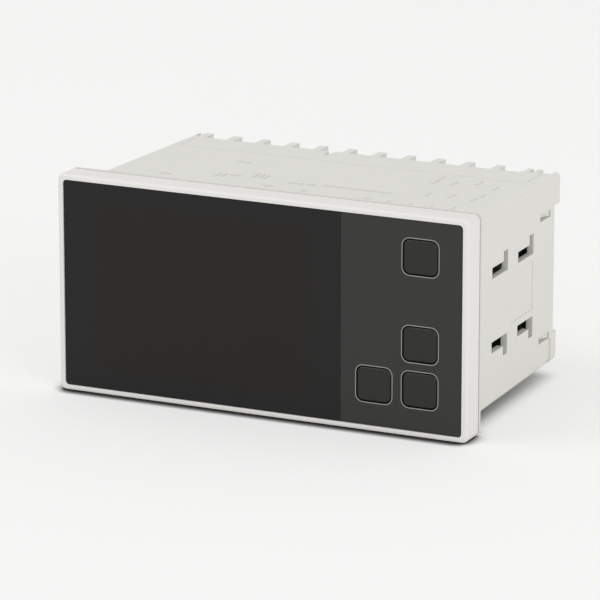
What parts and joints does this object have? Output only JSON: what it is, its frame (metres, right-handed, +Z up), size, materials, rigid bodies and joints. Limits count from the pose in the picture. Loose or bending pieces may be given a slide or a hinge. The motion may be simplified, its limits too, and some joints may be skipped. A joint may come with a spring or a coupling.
{
  "type": "process temperature controller",
  "caption": "Panel-mount digital process controller with a wide dark front, side keys, a tapered light grey case with bracket slots and two rear rows of screw terminals.",
  "frame": {"origin": "centre of the panel cut-out, in the plane where the gasket meets the panel's front face", "axes": "+X right across the front as the user sees it, +Y back into the cabinet, +Z up"},
  "size_m": [0.096, 0.0589, 0.048],
  "materials": {
    "bezel_plastic": "fine moulded texture, light warm grey",
    "case_plastic": "fine moulded texture, light warm grey",
    "base_plastic": "fine moulded texture, light warm grey",
    "gasket_rubber": "matt pale grey sealing strip",
    "smoked_window": "dark smoked window, semi-gloss",
    "keypad_plastic": "dark grey, fine satin texture",
    "key_plastic": "dark grey key top, satin",
    "outline_paint": "thin light grey ring",
    "switch_plunger": "moulded plunger",
    "contact_metal": "tin-plated strip",
    "screw_steel": "zinc-plated",
    "board_laminate": "green circuit board",
    "black_plastic": "moulded black",
    "white_plastic": "moulded white",
    "display_glass": "dark display cell",
    "light_guide": "translucent light guide",
    "strip_rubber": "layered connector rubber",
    "ferrite": "pressed ferrite",
    "winding_tape": "yellow winding tape",
    "capacitor_sleeve": "shrunk sleeve",
    "varistor_coat": "dipped coat",
    "relay_plastic": "moulded relay case"
  },
  "bodies": {
    "housing": {"front_bezel": "bezel_plastic", "panel_gasket": "gasket_rubber", "display_window": "smoked_window", "keypad_panel": "keypad_plastic", "case": "case_plastic", "terminal_base": "base_plastic", "terminal_contacts": "contact_metal", "terminal_clamps": "contact_metal", "terminal_screws": "screw_steel", "display_board": "board_laminate", "upper_board": "board_laminate", "lower_board": "board_laminate", "board_headers": "black_plastic", "header_pins": "contact_metal", "switch_bodies": "black_plastic", "lcd_glass": "display_glass", "lcd_holder": "white_plastic", "lcd_backlight": "light_guide", "lcd_connector_strips": "strip_rubber", "backlight_leds": "white_plastic", "processor_chip": "black_plastic", "transformer_core": "ferrite", "transformer_bobbin": "black_plastic", "transformer_winding": "winding_tape", "bulk_capacitor": "capacitor_sleeve", "output_capacitors": "capacitor_sleeve", "power_fuse": "black_plastic", "varistor": "varistor_coat", "rectifier": "black_plastic", "output_relays": "relay_plastic", "optocouplers": "white_plastic", "converter_chip": "black_plastic"},
    "menu_key": {"key_menu": "key_plastic", "switch_button_menu": "switch_plunger"},
    "up_key": {"key_up": "key_plastic", "switch_button_up": "switch_plunger"},
    "shift_key": {"key_shift": "key_plastic", "switch_button_shift": "switch_plunger"},
    "down_key": {"key_down": "key_plastic", "switch_button_down": "switch_plunger"}
  },
  "joints": [
    {"name": "menu_press", "type": "slide", "parent": "housing", "child": "menu_key", "axis": [0, 1, 0], "range_m": [0, 0.0005], "stiffness_N_per_m": 3000},
    {"name": "up_press", "type": "slide", "parent": "housing", "child": "up_key", "axis": [0, 1, 0], "range_m": [0, 0.0005], "stiffness_N_per_m": 3000},
    {"name": "shift_press", "type": "slide", "parent": "housing", "child": "shift_key", "axis": [0, 1, 0], "range_m": [0, 0.0005], "stiffness_N_per_m": 3000},
    {"name": "down_press", "type": "slide", "parent": "housing", "child": "down_key", "axis": [0, 1, 0], "range_m": [0, 0.0005], "stiffness_N_per_m": 3000}
  ]
}
